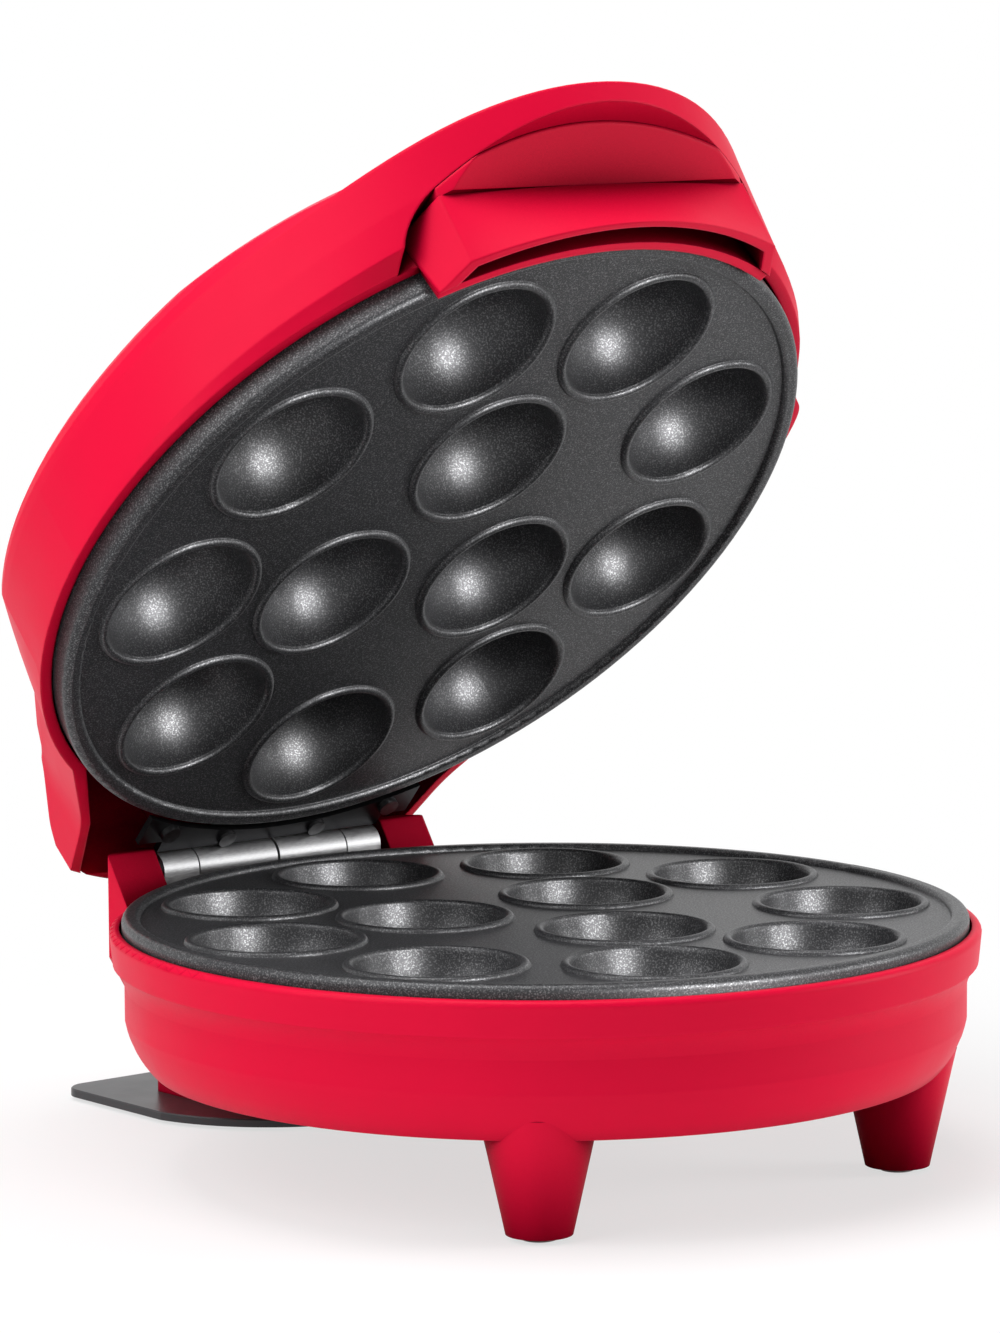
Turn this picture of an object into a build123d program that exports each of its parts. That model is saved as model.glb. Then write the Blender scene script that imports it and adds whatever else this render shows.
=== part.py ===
"""Cake pop maker: a round hinged cooker on two front legs and a rear stand plate.

The lid stands open, as a cook would leave it to fill the cups.
"""
import os
from math import cos, radians, sin, sqrt, tan

from build123d import *

os.makedirs("parts", exist_ok=True)

# Driving dimensions: millimetres and degrees.  Heights count from the parting plane, where the
# two plates meet, and distances from the plates' centre.
parting_height = 60.5
lid_open_angle = 48.6

# Cooking plates, both the same casting
plate_radius = 100.0
plate_wall = 2.5
plate_gap = 0.4
rim_width = 4.4
rim_rise = 1.4
rim_inner_round = 1.25
rim_outer_round = 1.8
skirt_height = 8.8
cup_radius = 19.0
bead_radius = 1.1
outer_ring = 71.6
outer_count = 9
inner_ring = 28.8
inner_count = 3
post_inset = 16.0
post_ring = plate_radius - post_inset
post_radius = 4.0
post_count = 3
post_start = 30.0
post_depth = 16.0

# Heating elements and reflectors
element_ring = 50.2
element_radius = 3.25
element_depth = 15.5
element_gap_angle = 16.0
terminal_length = 12.0
terminal_radius = 1.5
sleeve_wall = 0.5
saddle_radius = 4.5
reflector_wall = 0.6
reflector_depth = 24.0
reflector_inset = 6.0
reflector_radius = plate_radius - reflector_inset
reflector_height = 12.0

# Base housing, stepped in below the band round its top
wall = 2.5
plate_play = 0.6
fit = 0.3
seat = 0.15
base_top = -3.3
band_margin = 2.9
band_radius = plate_radius + band_margin
band_bottom = -11.6
waist_step = 3.4
waist_radius = band_radius - waist_step
waist_top = -17.0
waist_bottom = -25.0
foot_step = 5.7
underside_radius = waist_radius - foot_step
underside = -36.2
turn_step = 2.2
turn_level = -31.3
inner_turn_step = 3.9
inner_turn_level = -30.2
band_draft = 0.7
edge_round = 1.4
edge_turn = 1 - sqrt(0.5)
boss_radius = 6.5
stud_radius = 4.0

# Screws
screw_radius = 1.5
thread_play = 0.1
head_radius = 2.6
head_height = 1.6
head_bore_radius = 3.2
head_bore_depth = 6.0
countersink_radius = 3.0
countersink_share = 0.8
stand_screw_inset = 12.0
stand_screw_length = 12.0
stem_screw_spread = 18.0
stem_screw_inset = 8.0
stem_screw_length = 8.0
leaf_screw_spread = 20.0
leaf_screw_height = -17.0
leaf_screw_length = 5.0
plate_screw_bite = 8.0
bracket_screw_length = 8.0

# Hinge
hinge_offset = 10.45
hinge_reach = plate_radius + hinge_offset
hinge_height = -1.3
pin_radius = 2.0
pin_play = 0.05
pin_head_step = 1.2
knuckle_radius = 5.0
lid_knuckle_end = 23.0
slit_middle = 1.5
slit_width = 0.8
base_knuckle_start = 23.4
base_knuckle_end = 34.0
leaf_thickness = 1.6
leaf_drop = 6.0
bracket_half_width = 42.0
bracket_bottom = 0.3
bracket_screw_spread = 34.2
bracket_screw_offset = 12.85
bracket_screw_reach = hinge_reach - bracket_screw_offset
bracket_post_radius = 3.0
bracket_strip = 12.0
bracket_ledge = 3.6

# Hinge tower on the base
tower_half_width = 49.5
tower_rear_half_width = 39.0
tower_back = 5.05
tower_rear = hinge_reach + tower_back
tower_depth = 35.0
horn_inner = 35.5
horn_top = 4.6
horn_crest = 2.6
horn_foot = 13.2
horn_rear_round = 4.5
horn_front_round = 1.0
saddle_top = -8.0
tower_room_depth = 21.0

# Front legs and the rear stand
leg_spread = 55.0
leg_reach = 63.0
leg_radius = 7.65
leg_taper = 0.22
front_pad_height = 1.2
front_pad_radius = 4.0
stem_half_width = 31.5
stem_set_in = 0.5
stem_depth = 50.0
stem_rear = tower_rear - stem_set_in
stem_front = stem_rear - stem_depth
stem_corner = 3.0
stand_thickness = 2.0
stand_pad_height = 1.0
stand_pad_radius = 5.0
stand_pad_inset = 9.0
stand_tail = 19.0
stand_lead = 5.0
stand_rear = stem_rear + stand_tail
stand_front = stem_front - stand_lead
stand_half_width = 46.0
stand_corner = 6.0
stand_nose_half_width = 22.0
stand_nose_sweep = 1.5
stand_cheek_half_width = 37.0
stand_cheek = 13.5
stand_shoulder = 32.0

# Lid
lid_rim_height = 6.3
lid_rim_margin = 3.5
lid_rim_radius = plate_radius + lid_rim_margin
lid_draft = 1.5
lid_wall_radius = lid_rim_radius - lid_draft
lid_wall_top = 28.0
crown_inset = 5.0
crown_radius = lid_wall_radius - crown_inset
crown_height = 36.0
crown_rise = 8.5
crown_round = 7.0
dome_height = 45.7
dome_flat = 6.0
pocket_top = 12.0
bead_bottom = -2.3
bead_wall = 2.3
bead_half_angle = 29.0

# Flat cheeks at the back of the lid, and the housing over the hinge between them
cheek_start = 22.0
cheek_end = 47.8
cheek_depth = 3.8
housing_offset = 10.55
housing_rear = hinge_reach + housing_offset
housing_neck_half_width = 57.0
housing_neck = 23.0
housing_half_width = 51.0
housing_corner = 5.5
housing_blend = 40.0
roof_foot = 1.0
roof_knee_offset = 2.35
roof_knee_height = 18.9
roof_knee_round = 12.0
roof_slope = 0.6461

# Handle: the lid drawn out in front into a hood, with an arched recess under it
hood_overhang = 22.6
hood_top = 28.5
hood_shoulder_offset = 8.5
hood_foot = 9.0
hood_foot_share = 0.45
hood_waist = 17.0
hood_waist_share = 0.72
arch_half_width = 55.0
arch_top = 24.0
arch_shoulder = 14.5
arch_corner = 13.0
arch_drop = 8.0
ring_step = 0.5
ring_radius = lid_rim_radius - ring_step
grip_half_width = 46.0
grip_end_splay = 8.0
grip_crease_offset = 1.3
grip_crease = lid_rim_radius + grip_crease_offset
grip_crease_height = 15.2
grip_crease_bow = 1.6
grip_lean = 11.9
grip_bottom = -3.0
grip_offset = 6.5
grip_radius = lid_rim_radius + grip_offset
grip_wall = 2.8
grip_lip = 1.5
grip_depth = 24.0

# The stand reaches further back than the plates reach forward, and the model's origin lies on the
# floor below the middle of the two.
plate_centre_y = (band_radius - stand_rear) / 2
base_frame = Plane(origin=(0, plate_centre_y, parting_height), x_dir=(1, 0, 0), z_dir=(0, 0, 1))
floor = -parting_height
hinge_point = base_frame.from_local_coords(Vector(0, hinge_reach, hinge_height))
lid_up = Vector(0, sin(radians(lid_open_angle)), cos(radians(lid_open_angle)))
lid_back = Vector(0, cos(radians(lid_open_angle)), -sin(radians(lid_open_angle)))
lid_origin = hinge_point - lid_back * hinge_reach - lid_up * hinge_height
lid_frame = Plane(origin=lid_origin, x_dir=(1, 0, 0), z_dir=lid_up)
upper_face = Plane(origin=lid_origin, x_dir=(-1, 0, 0), z_dir=lid_up * -1)
bench = Plane.XY
base_axis = Axis(base_frame.origin, base_frame.z_dir)
lid_axis = Axis(lid_frame.origin, lid_frame.z_dir)


def section(frame, x=0.0):
    """Upright plane at x whose own x and y run along the frame's Y and Z."""
    origin = frame.from_local_coords(Vector(x, 0, 0))
    return Plane(origin=origin, x_dir=frame.y_dir, z_dir=frame.x_dir)


def front(frame, y=0.0):
    """Upright plane at y whose own x and y run along the frame's X and Z."""
    origin = frame.from_local_coords(Vector(0, y, 0))
    return Plane(origin=origin, x_dir=frame.x_dir, z_dir=frame.y_dir * -1)


def spoke(frame, angle):
    """Upright plane through a frame's axis whose x runs outward at an angle from the frame's X."""
    outward = frame.x_dir * cos(radians(angle)) + frame.y_dir * sin(radians(angle))
    return Plane(origin=frame.origin, x_dir=outward, z_dir=outward.cross(frame.z_dir))


def polar(radius, angle):
    """Point in plan at a radius and an angle."""
    return (radius * cos(radians(angle)), radius * sin(radians(angle)))


def post_spots():
    """The places of the plate's fixing posts, the same in both halves."""
    return PolarLocations(post_ring, post_count, start_angle=post_start)


def save(name, piece):
    """Label a finished piece and write it to its own file."""
    piece.part.label = name
    export_step(piece.part, f"parts/{name}.step")


TOP = (Align.CENTER, Align.CENTER, Align.MAX)
FOOT = (Align.CENTER, Align.CENTER, Align.MIN)
face_level = -plate_gap / 2
plate_floor = face_level - rim_rise
plate_back = plate_floor - plate_wall
skirt_bottom = face_level - skirt_height
saddle_spots = (90.0, 210.0, 330.0)
element_half_gap = radians(element_gap_angle / 2)
terminal_x = element_ring * sin(element_half_gap)
terminal_y = -element_ring * cos(element_half_gap)
sensor_boss_radius = 5.0
sensor_boss_depth = 12.0

# ---- Plates, heating elements and reflectors: the same three pieces in each half ----
for half, face in (("lower", base_frame), ("upper", upper_face)):
    with BuildPart(face) as plate:
        with BuildSketch(section(face)) as plate_profile:
            with BuildLine():
                Polyline(
                    (0, plate_floor),
                    (plate_radius - rim_width, plate_floor),
                    (plate_radius - rim_width, face_level),
                    (plate_radius, face_level),
                    (plate_radius, skirt_bottom),
                    (plate_radius - plate_wall, skirt_bottom),
                    (plate_radius - plate_wall, plate_back),
                    (0, plate_back),
                    close=True,
                )
            make_face()
            crest = plate_profile.vertices().group_by(Axis.Y)[-1].sort_by(Axis.X)
            fillet(crest[0], radius=rim_inner_round)
            crest = plate_profile.vertices().group_by(Axis.Y)[-1].sort_by(Axis.X)
            fillet(crest[-1], radius=rim_outer_round)
        revolve(axis=Axis(face.origin, face.z_dir))
        # cups hang below the plate's floor, and cast saddles carry the heating element
        for ring, count, start in ((outer_ring, outer_count, 90), (inner_ring, inner_count, -90)):
            with PolarLocations(ring, count, start_angle=start):
                Sphere(cup_radius + plate_wall, arc_size1=-90, arc_size2=0, align=TOP)
        for angle in saddle_spots:
            with PolarLocations(element_ring, 1, start_angle=angle):
                with Locations((0, 0, plate_floor)):
                    Cylinder(saddle_radius, element_depth + plate_floor, align=TOP)
        with Locations((0, 0, plate_floor)):
            Cylinder(sensor_boss_radius, sensor_boss_depth + plate_floor, align=TOP)
        with post_spots():
            with Locations((0, 0, plate_floor)):
                Cylinder(post_radius, post_depth + plate_floor, align=TOP)
        # clear the space over the floor, raise a bead round each cup, then open the cups
        with Locations((0, 0, plate_floor)):
            Cylinder(plate_radius - rim_width - rim_rise, 3 * rim_rise, align=FOOT, mode=Mode.SUBTRACT)
        for ring, count, start in ((outer_ring, outer_count, 90), (inner_ring, inner_count, -90)):
            with PolarLocations(ring, count, start_angle=start):
                with Locations((0, 0, plate_floor)):
                    Torus(cup_radius + bead_radius, bead_radius)
            with PolarLocations(ring, count, start_angle=start):
                Sphere(cup_radius, mode=Mode.SUBTRACT)
        with Locations((0, 0, -element_depth)):
            Torus(element_ring, element_radius + fit, mode=Mode.SUBTRACT)
        with post_spots():
            with Locations((0, 0, -post_depth)):
                Cylinder(screw_radius, post_depth + plate_back - wall, align=FOOT, mode=Mode.SUBTRACT)
    save(f"{half}_plate", plate)

    with BuildPart(face) as element:
        with BuildSketch(spoke(face, element_gap_angle / 2 - 90)):
            with Locations((element_ring, -element_depth)):
                Circle(element_radius)
        revolve(axis=Axis(face.origin, face.z_dir), revolution_arc=360 - element_gap_angle)
        for side in (-1, 1):
            with Locations((side * terminal_x, terminal_y, element_radius / 2 - element_depth)):
                Cylinder(element_radius + sleeve_wall, terminal_length - element_radius, align=TOP)
                Cylinder(terminal_radius, terminal_length + element_radius / 2, align=TOP)
    save(f"{half}_heating_element", element)

    with BuildPart(face) as reflector:
        with BuildSketch(section(face)) as pan:
            with BuildLine():
                Polyline(
                    (0, -reflector_depth),
                    (reflector_radius - reflector_wall, -reflector_depth),
                    (reflector_radius - reflector_wall, reflector_height - reflector_depth),
                    (reflector_radius, reflector_height - reflector_depth),
                    (reflector_radius, -reflector_depth - reflector_wall),
                    (0, -reflector_depth - reflector_wall),
                    close=True,
                )
            make_face()
        revolve(axis=Axis(face.origin, face.z_dir))
        with post_spots():
            Cylinder(boss_radius + fit, 3 * reflector_depth, mode=Mode.SUBTRACT)
        with Locations((-terminal_x, terminal_y), (terminal_x, terminal_y)):
            Cylinder(element_radius + 2 * sleeve_wall, 3 * reflector_depth, mode=Mode.SUBTRACT)
    save(f"{half}_reflector", reflector)

# ---- Base housing: round bowl, two cone legs and the hinge tower, moulded in one ----
with BuildPart() as tower:
    with BuildSketch(bench.offset(underside)):
        with BuildLine():
            Polyline(
                (-tower_half_width, tower_rear - tower_depth),
                (-tower_half_width, hinge_reach - horn_crest),
                (-tower_rear_half_width, tower_rear),
                (tower_rear_half_width, tower_rear),
                (tower_half_width, hinge_reach - horn_crest),
                (tower_half_width, tower_rear - tower_depth),
                close=True,
            )
        make_face()
    extrude(amount=horn_top - underside)
    with BuildSketch(section(bench)) as horn_profile:
        with BuildLine():
            Polyline(
                (tower_rear - tower_depth, underside),
                (tower_rear, underside),
                (tower_rear, horn_top),
                (hinge_reach - horn_crest, horn_top),
                (hinge_reach - horn_foot, band_bottom),
                (tower_rear - tower_depth, band_bottom),
                close=True,
            )
        make_face()
        horn_back = horn_profile.vertices().group_by(Axis.Y)[-1].sort_by(Axis.X)[-1]
        fillet(horn_back, radius=horn_rear_round)
        horn_front = horn_profile.vertices().group_by(Axis.Y)[-1].sort_by(Axis.X)[0]
        fillet(horn_front, radius=horn_front_round)
    extrude(amount=tower_half_width, both=True, mode=Mode.INTERSECT)
    with BuildSketch(front(bench)):
        with BuildLine():
            Polyline(
                (-stem_half_width - wall, underside),
                (-tower_half_width, underside + tower_half_width - stem_half_width - wall),
                (-tower_half_width, horn_top),
                (tower_half_width, horn_top),
                (tower_half_width, underside + tower_half_width - stem_half_width - wall),
                (stem_half_width + wall, underside),
                close=True,
            )
        make_face()
    extrude(amount=-2 * plate_radius, mode=Mode.INTERSECT)
    # the hinge lies in the saddle between the two horns
    with Locations((0, hinge_reach, saddle_top)):
        Box(2 * horn_inner, 2 * tower_depth, 2 * (horn_top - saddle_top), align=FOOT, mode=Mode.SUBTRACT)

leg_height = underside - floor - front_pad_height + 2 * wall
leg_top_radius = leg_radius + leg_taper * leg_height
leg_foot = floor + front_pad_height
leg_spots = [(-leg_spread, -leg_reach), (leg_spread, -leg_reach)]
leaf_front = hinge_reach - knuckle_radius
leaf_back = leaf_front + leaf_thickness
inlet_height = -24.0
inlet_radius = 5.5
floor_top = underside + wall
stem_screw_spots = [(side * stem_screw_spread, stem_front + stem_screw_inset) for side in (-1, 1)]
leaf_screw_spots = [(side * leaf_screw_spread, leaf_screw_height) for side in (-1, 1)]

with BuildPart(base_frame) as base_shell:
    with BuildSketch(section(base_frame)):
        with BuildLine():
            Polyline(
                (0, underside),
                (underside_radius, underside),
            )
            ThreePointArc(
                (underside_radius, underside),
                (waist_radius - turn_step, turn_level),
                (waist_radius, waist_bottom),
            )
            Line((waist_radius, waist_bottom), (waist_radius, waist_top))
            ThreePointArc(
                (waist_radius, waist_top),
                (waist_radius + band_draft, (waist_top + band_bottom) / 2),
                (band_radius - band_draft, band_bottom),
            )
            Line((band_radius - band_draft, band_bottom), (band_radius, base_top - edge_round))
            ThreePointArc(
                (band_radius, base_top - edge_round),
                (band_radius - edge_round * edge_turn, base_top - edge_round * edge_turn),
                (band_radius - edge_round, base_top),
            )
            Polyline((band_radius - edge_round, base_top), (0, base_top), (0, underside))
        make_face()
    revolve(axis=base_axis)
    with Locations(*[(x, y, leg_foot) for x, y in leg_spots]):
        Cone(leg_radius, leg_top_radius, leg_height, align=FOOT)
    add(tower.part)
    # bowl and plate recess
    with BuildSketch(section(base_frame)):
        with BuildLine():
            Polyline((0, floor_top), (underside_radius - wall / 2, floor_top))
            ThreePointArc(
                (underside_radius - wall / 2, floor_top),
                (waist_radius - inner_turn_step, inner_turn_level),
                (waist_radius - wall, waist_bottom),
            )
            Polyline(
                (waist_radius - wall, waist_bottom),
                (waist_radius - wall, skirt_bottom - 1),
                (plate_radius + plate_play, skirt_bottom - 1),
                (plate_radius + plate_play, base_top + 1),
                (0, base_top + 1),
                (0, floor_top),
            )
        make_face()
    revolve(axis=base_axis, mode=Mode.SUBTRACT)
    with Locations(*[(x, y, leg_foot + wall) for x, y in leg_spots]):
        Cone(leg_radius - wall, leg_top_radius - wall, leg_height, align=FOOT, mode=Mode.SUBTRACT)
    # way from the bowl into the tower, and the slot that the hinge leaf rises through
    with Locations((0, tower_rear - wall - tower_room_depth, floor_top)):
        Box(
            2 * (base_knuckle_end + fit),
            tower_room_depth,
            saddle_top - wall - floor_top,
            align=(Align.CENTER, Align.MIN, Align.MIN),
            mode=Mode.SUBTRACT,
        )
    with Locations((0, leaf_front - fit, saddle_top - 2 * wall)):
        Box(
            2 * base_knuckle_end + 2 * fit,
            leaf_thickness + 2 * fit,
            3 * wall,
            align=(Align.CENTER, Align.MIN, Align.MIN),
            mode=Mode.SUBTRACT,
        )
    # bosses for the plate's screws, and for the hinge leaf's
    with post_spots():
        with Locations((0, 0, underside)):
            Cylinder(boss_radius, -post_depth - seat - underside, align=FOOT)
    with Locations(front(bench, leaf_back)):
        with Locations(*leaf_screw_spots):
            Cylinder(stud_radius, tower_rear - leaf_back - wall / 2, align=TOP)
    with post_spots():
        with Locations((0, 0, underside)):
            Cylinder(screw_radius + fit, -underside, align=FOOT, mode=Mode.SUBTRACT)
            Cylinder(head_bore_radius, head_bore_depth, align=FOOT, mode=Mode.SUBTRACT)
    with Locations(front(bench, leaf_back)):
        with Locations(*leaf_screw_spots):
            Cylinder(screw_radius, leaf_screw_length + 1, align=TOP, mode=Mode.SUBTRACT)
    with Locations(*[(x, y, underside) for x, y in stem_screw_spots]):
        Cylinder(screw_radius + fit, 3 * wall, mode=Mode.SUBTRACT)
    # cord inlet
    with Locations(front(bench, tower_rear + 1)):
        with Locations((0, inlet_height)):
            Cylinder(inlet_radius, 2 * wall, align=FOOT, mode=Mode.SUBTRACT)
save("base_shell", base_shell)

# ---- Rear stand: hollow stem under the base, and the plate that it ends in ----
stem_foot = floor + stand_pad_height + stand_thickness
stem_length = stem_rear - stem_front
stem_centre = (stem_front + stem_rear) / 2
stand_screw_spots = [(0, stem_front + stand_screw_inset), (0, stem_rear - stand_screw_inset)]

with BuildPart(base_frame) as stem:
    with BuildSketch(base_frame.offset(stem_foot)):
        with Locations((0, stem_centre)):
            RectangleRounded(2 * stem_half_width, stem_length, stem_corner)
    extrude(amount=underside - stem_foot)
    with BuildSketch(base_frame.offset(stem_foot)):
        with Locations((0, stem_centre)):
            Rectangle(2 * (stem_half_width - wall), stem_length - 2 * wall)
    extrude(amount=underside - wall - stem_foot, mode=Mode.SUBTRACT)
    with Locations(*[(x, y, stem_foot) for x, y in stand_screw_spots]):
        Cylinder(stud_radius, underside - wall / 2 - stem_foot, align=FOOT)
        Cylinder(screw_radius, stand_screw_length, align=FOOT, mode=Mode.SUBTRACT)
    with Locations(*[(x, y, underside) for x, y in stem_screw_spots]):
        Cylinder(stud_radius, stem_screw_length + 2 * wall, align=TOP)
        Cylinder(screw_radius, stem_screw_length + wall, align=TOP, mode=Mode.SUBTRACT)
save("cord_wrap_stem", stem)

stand_shoulder_y = stand_front + stand_shoulder
stand_cheek_y = stand_front + stand_cheek
stand_nose_y = stand_front + stand_nose_sweep
with BuildPart(base_frame) as stand_plate:
    with BuildSketch(base_frame.offset(stem_foot - stand_thickness)) as stand_plan:
        with BuildLine():
            Polyline(
                (stand_nose_half_width, stand_nose_y),
                (0, stand_front),
                (-stand_nose_half_width, stand_nose_y),
            )
            ThreePointArc(
                (-stand_nose_half_width, stand_nose_y),
                (-stand_cheek_half_width, stand_cheek_y),
                (-stand_half_width, stand_shoulder_y),
            )
            Polyline(
                (-stand_half_width, stand_shoulder_y),
                (-stand_half_width, stand_rear),
                (stand_half_width, stand_rear),
                (stand_half_width, stand_shoulder_y),
            )
            ThreePointArc(
                (stand_half_width, stand_shoulder_y),
                (stand_cheek_half_width, stand_cheek_y),
                (stand_nose_half_width, stand_nose_y),
            )
        make_face()
        fillet(stand_plan.vertices().group_by(Axis.Y)[-1], radius=stand_corner)
    extrude(amount=stand_thickness)
    chamfer(stand_plate.faces().sort_by(base_axis)[-1].outer_wire().edges(), length=fit)
    with Locations(*[(x, y, stem_foot - stand_thickness) for x, y in stand_screw_spots]):
        Cylinder(screw_radius + seat, 3 * stand_thickness, mode=Mode.SUBTRACT)
        Cone(
            countersink_radius,
            screw_radius + seat,
            stand_thickness * countersink_share,
            align=FOOT,
            mode=Mode.SUBTRACT,
        )
save("cord_wrap_plate", stand_plate)

with BuildPart(base_frame) as front_pads:
    with Locations(*[(x, y, floor) for x, y in leg_spots]):
        Cylinder(front_pad_radius, front_pad_height, align=FOOT)
save("front_foot_pads", front_pads)

stand_pad_spots = [
    (stand_pad_inset - stand_half_width, stand_rear - stand_pad_inset),
    (stand_half_width - stand_pad_inset, stand_rear - stand_pad_inset),
    (0, stand_front + stand_shoulder),
]
with BuildPart(base_frame) as rear_pads:
    with Locations(*[(x, y, floor) for x, y in stand_pad_spots]):
        Cylinder(stand_pad_radius, stand_pad_height, align=FOOT)
save("rear_foot_pads", rear_pads)

# ---- Base hardware ----
with BuildPart(base_frame) as stand_screws:
    with Locations(*[(x, y, stem_foot - stand_thickness) for x, y in stand_screw_spots]):
        Cone(
            countersink_radius - seat,
            screw_radius - thread_play,
            stand_thickness * countersink_share - thread_play,
            align=FOOT,
        )
        Cylinder(screw_radius - thread_play, stand_screw_length, align=FOOT)
save("cord_wrap_plate_screws", stand_screws)

with BuildPart(base_frame) as stem_screws:
    with Locations(*[(x, y, floor_top) for x, y in stem_screw_spots]):
        Cylinder(head_radius, head_height, align=FOOT)
        Cylinder(screw_radius - thread_play, wall + stem_screw_length, align=TOP)
save("cord_wrap_stem_screws", stem_screws)

with BuildPart(base_frame) as plate_screws:
    with post_spots():
        with Locations((0, 0, underside + head_bore_depth)):
            Cylinder(head_radius, head_height, align=TOP)
            Cylinder(
                screw_radius - thread_play,
                plate_screw_bite - post_depth - underside - head_bore_depth,
                align=FOOT,
            )
save("lower_plate_screws", plate_screws)

with BuildPart(base_frame) as leaf:
    with Locations((0, leaf_front, leaf_screw_height - leaf_drop)):
        Box(
            2 * base_knuckle_end,
            leaf_thickness,
            hinge_height - leaf_screw_height + leaf_drop,
            align=(Align.CENTER, Align.MIN, Align.MIN),
        )
    with Locations((0, leaf_front, hinge_height - knuckle_radius - 1)):
        Box(
            2 * base_knuckle_start,
            4 * leaf_thickness,
            4 * knuckle_radius,
            align=(Align.CENTER, Align.CENTER, Align.MIN),
            mode=Mode.SUBTRACT,
        )
    knuckle_length = base_knuckle_end - base_knuckle_start
    for side in (-1, 1):
        with Locations((side * (base_knuckle_start + knuckle_length / 2), hinge_reach, hinge_height)):
            Cylinder(knuckle_radius, knuckle_length, rotation=(0, 90, 0))
    with Locations((0, hinge_reach, hinge_height)):
        Cylinder(pin_radius + pin_play, 3 * base_knuckle_end, rotation=(0, 90, 0), mode=Mode.SUBTRACT)
    with Locations(front(bench, leaf_front)):
        with Locations(*leaf_screw_spots):
            Cylinder(screw_radius + seat, 4 * leaf_thickness, mode=Mode.SUBTRACT)
save("base_hinge_leaf", leaf)

with BuildPart(base_frame) as leaf_screws:
    with Locations(front(bench, leaf_front)):
        with Locations(*leaf_screw_spots):
            Cylinder(head_radius, head_height, align=FOOT)
            Cylinder(screw_radius - thread_play, leaf_thickness + leaf_screw_length, align=TOP)
save("base_hinge_screws", leaf_screws)

pin_head_length = horn_inner - base_knuckle_end - 2 * fit
with BuildPart(base_frame) as pin:
    with Locations((0, hinge_reach, hinge_height)):
        Cylinder(pin_radius, 2 * (base_knuckle_end + fit / 2), rotation=(0, 90, 0))
    for side in (-1, 1):
        head_middle = side * (base_knuckle_end + fit / 2 + pin_head_length / 2)
        with Locations((head_middle, hinge_reach, hinge_height)):
            Cylinder(pin_radius + pin_head_step, pin_head_length, rotation=(0, 90, 0))
save("hinge_pin", pin)

# ---- Base electrics ----
cord_radius = 3.2
grommet_sleeve = 3.5
grommet_flange = 1.5
grommet_rise = 2.5
with BuildPart(base_frame) as grommet:
    with Locations(front(bench, tower_rear)):
        with Locations((0, inlet_height)):
            Cylinder(inlet_radius - seat, grommet_sleeve, align=FOOT)
            Cylinder(inlet_radius + grommet_flange, grommet_rise, align=TOP)
            Cylinder(cord_radius, 4 * grommet_sleeve, mode=Mode.SUBTRACT)
save("cord_inlet_grommet", grommet)

sensor_radius = 8.0
sensor_height = 8.0
tab_thickness = 0.8
tab_width = 5.0
tab_length = 3.0
with BuildPart(base_frame) as thermostat:
    with Locations((0, 0, -sensor_boss_depth - seat)):
        Cylinder(sensor_radius, sensor_height, align=TOP)
    for side in (-1, 1):
        with Locations((side * sensor_radius / 2, 0, -sensor_boss_depth - sensor_height)):
            Box(tab_thickness, tab_width, tab_length, align=TOP)
save("lower_thermostat", thermostat)

fuse_radius = 2.0
fuse_half_length = 6.0
fuse_lead_radius = 0.6
fuse_lead_end = 9.0
strap_play = 0.2
strap_wing = 3.5
strap_half_width = 2.5
fuse_reach = 86.0
fuse_angle = 230.0
fuse_level = plate_back - seat - fuse_radius
with BuildPart(base_frame) as fuse:
    with BuildSketch(spoke(base_frame, fuse_angle)):
        with Locations((fuse_reach, fuse_level)):
            Circle(fuse_radius)
    extrude(amount=fuse_half_length, both=True)
    with BuildSketch(spoke(base_frame, fuse_angle)):
        with Locations((fuse_reach, fuse_level)):
            Circle(fuse_lead_radius)
    extrude(amount=fuse_lead_end, both=True)
save("thermal_fuse", fuse)

with BuildPart(base_frame) as fuse_strap:
    with BuildSketch(spoke(base_frame, fuse_angle)):
        with Locations((fuse_reach, fuse_level)):
            Circle(fuse_radius + strap_play + reflector_wall)
        with Locations((fuse_reach, plate_back - seat)):
            Rectangle(2 * (fuse_radius + strap_wing), reflector_wall, align=(Align.CENTER, Align.MAX))
        with Locations((fuse_reach, fuse_level)):
            Circle(fuse_radius + strap_play, mode=Mode.SUBTRACT)
            Rectangle(
                2 * (fuse_radius + strap_play),
                3 * fuse_radius,
                align=(Align.CENTER, Align.MIN),
                mode=Mode.SUBTRACT,
            )
        with Locations((fuse_reach, plate_back - seat)):
            Rectangle(
                4 * (fuse_radius + strap_wing),
                4 * fuse_radius,
                align=(Align.CENTER, Align.MIN),
                mode=Mode.SUBTRACT,
            )
    extrude(amount=strap_half_width, both=True)
save("thermal_fuse_strap", fuse_strap)

block_reach = 40.0
block_length = 30.0
block_width = 14.0
block_height = 6.5
clamp_radius = 2.2
clamp_depth = 2.0
with BuildPart(base_frame) as terminal_block:
    with Locations((0, block_reach, floor_top)):
        Box(block_length, block_width, block_height, align=FOOT)
    with Locations((0, block_reach, floor_top + block_height)):
        with GridLocations(block_length / 3, block_width, 3, 1):
            Cylinder(clamp_radius, clamp_depth, align=TOP, mode=Mode.SUBTRACT)
save("terminal_block", terminal_block)

# ---- Lid housing: dome, rear housing over the hinge and handle hood, moulded in one ----
crown_sphere = crown_radius**2 / (2 * (dome_height - crown_height))
nose_reach = lid_wall_radius + hood_overhang
room_radius = lid_rim_radius - cheek_depth - wall
# the hood leaves the lid's round wall by these amounts, at these angles from its X
hood_flare = (
    (-158.0, 1.2),
    (-147.0, 3.0),
    (-138.0, 4.6),
    (-130.4, 6.0),
    (-125.6, 7.9),
    (-118.3, 11.9),
    (-108.3, 17.8),
    (-98.4, 21.6),
)


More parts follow.
